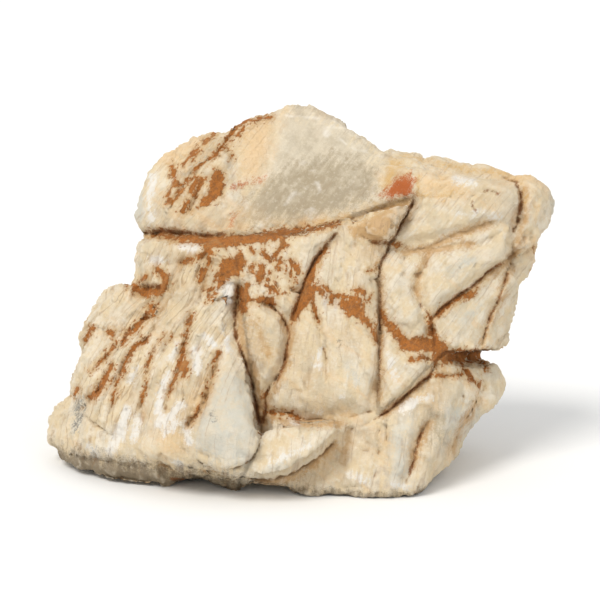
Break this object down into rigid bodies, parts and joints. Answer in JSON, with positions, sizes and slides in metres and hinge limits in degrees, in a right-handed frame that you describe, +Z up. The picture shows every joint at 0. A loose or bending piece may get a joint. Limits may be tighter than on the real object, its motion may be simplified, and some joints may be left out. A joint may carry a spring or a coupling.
{
  "type": "aquarium rock",
  "caption": "Pale, layered natural stone with a cleaved cap over a shelf, lobes, clefts and soil stains, resting on a flat spot.",
  "frame": {"origin": "centre of the base, on the surface that the stone rests on", "axes": "+Z up, +X along the stone's length towards its overhanging end, -Y towards the viewer of its best side"},
  "size_m": [0.2021, 0.1181, 0.1384],
  "materials": {
    "stone": "rough weathered stone with chalky and quartz areas and rust-brown soil in the clefts"
  },
  "bodies": {
    "root": {"rock": "stone"}
  },
  "joints": []
}
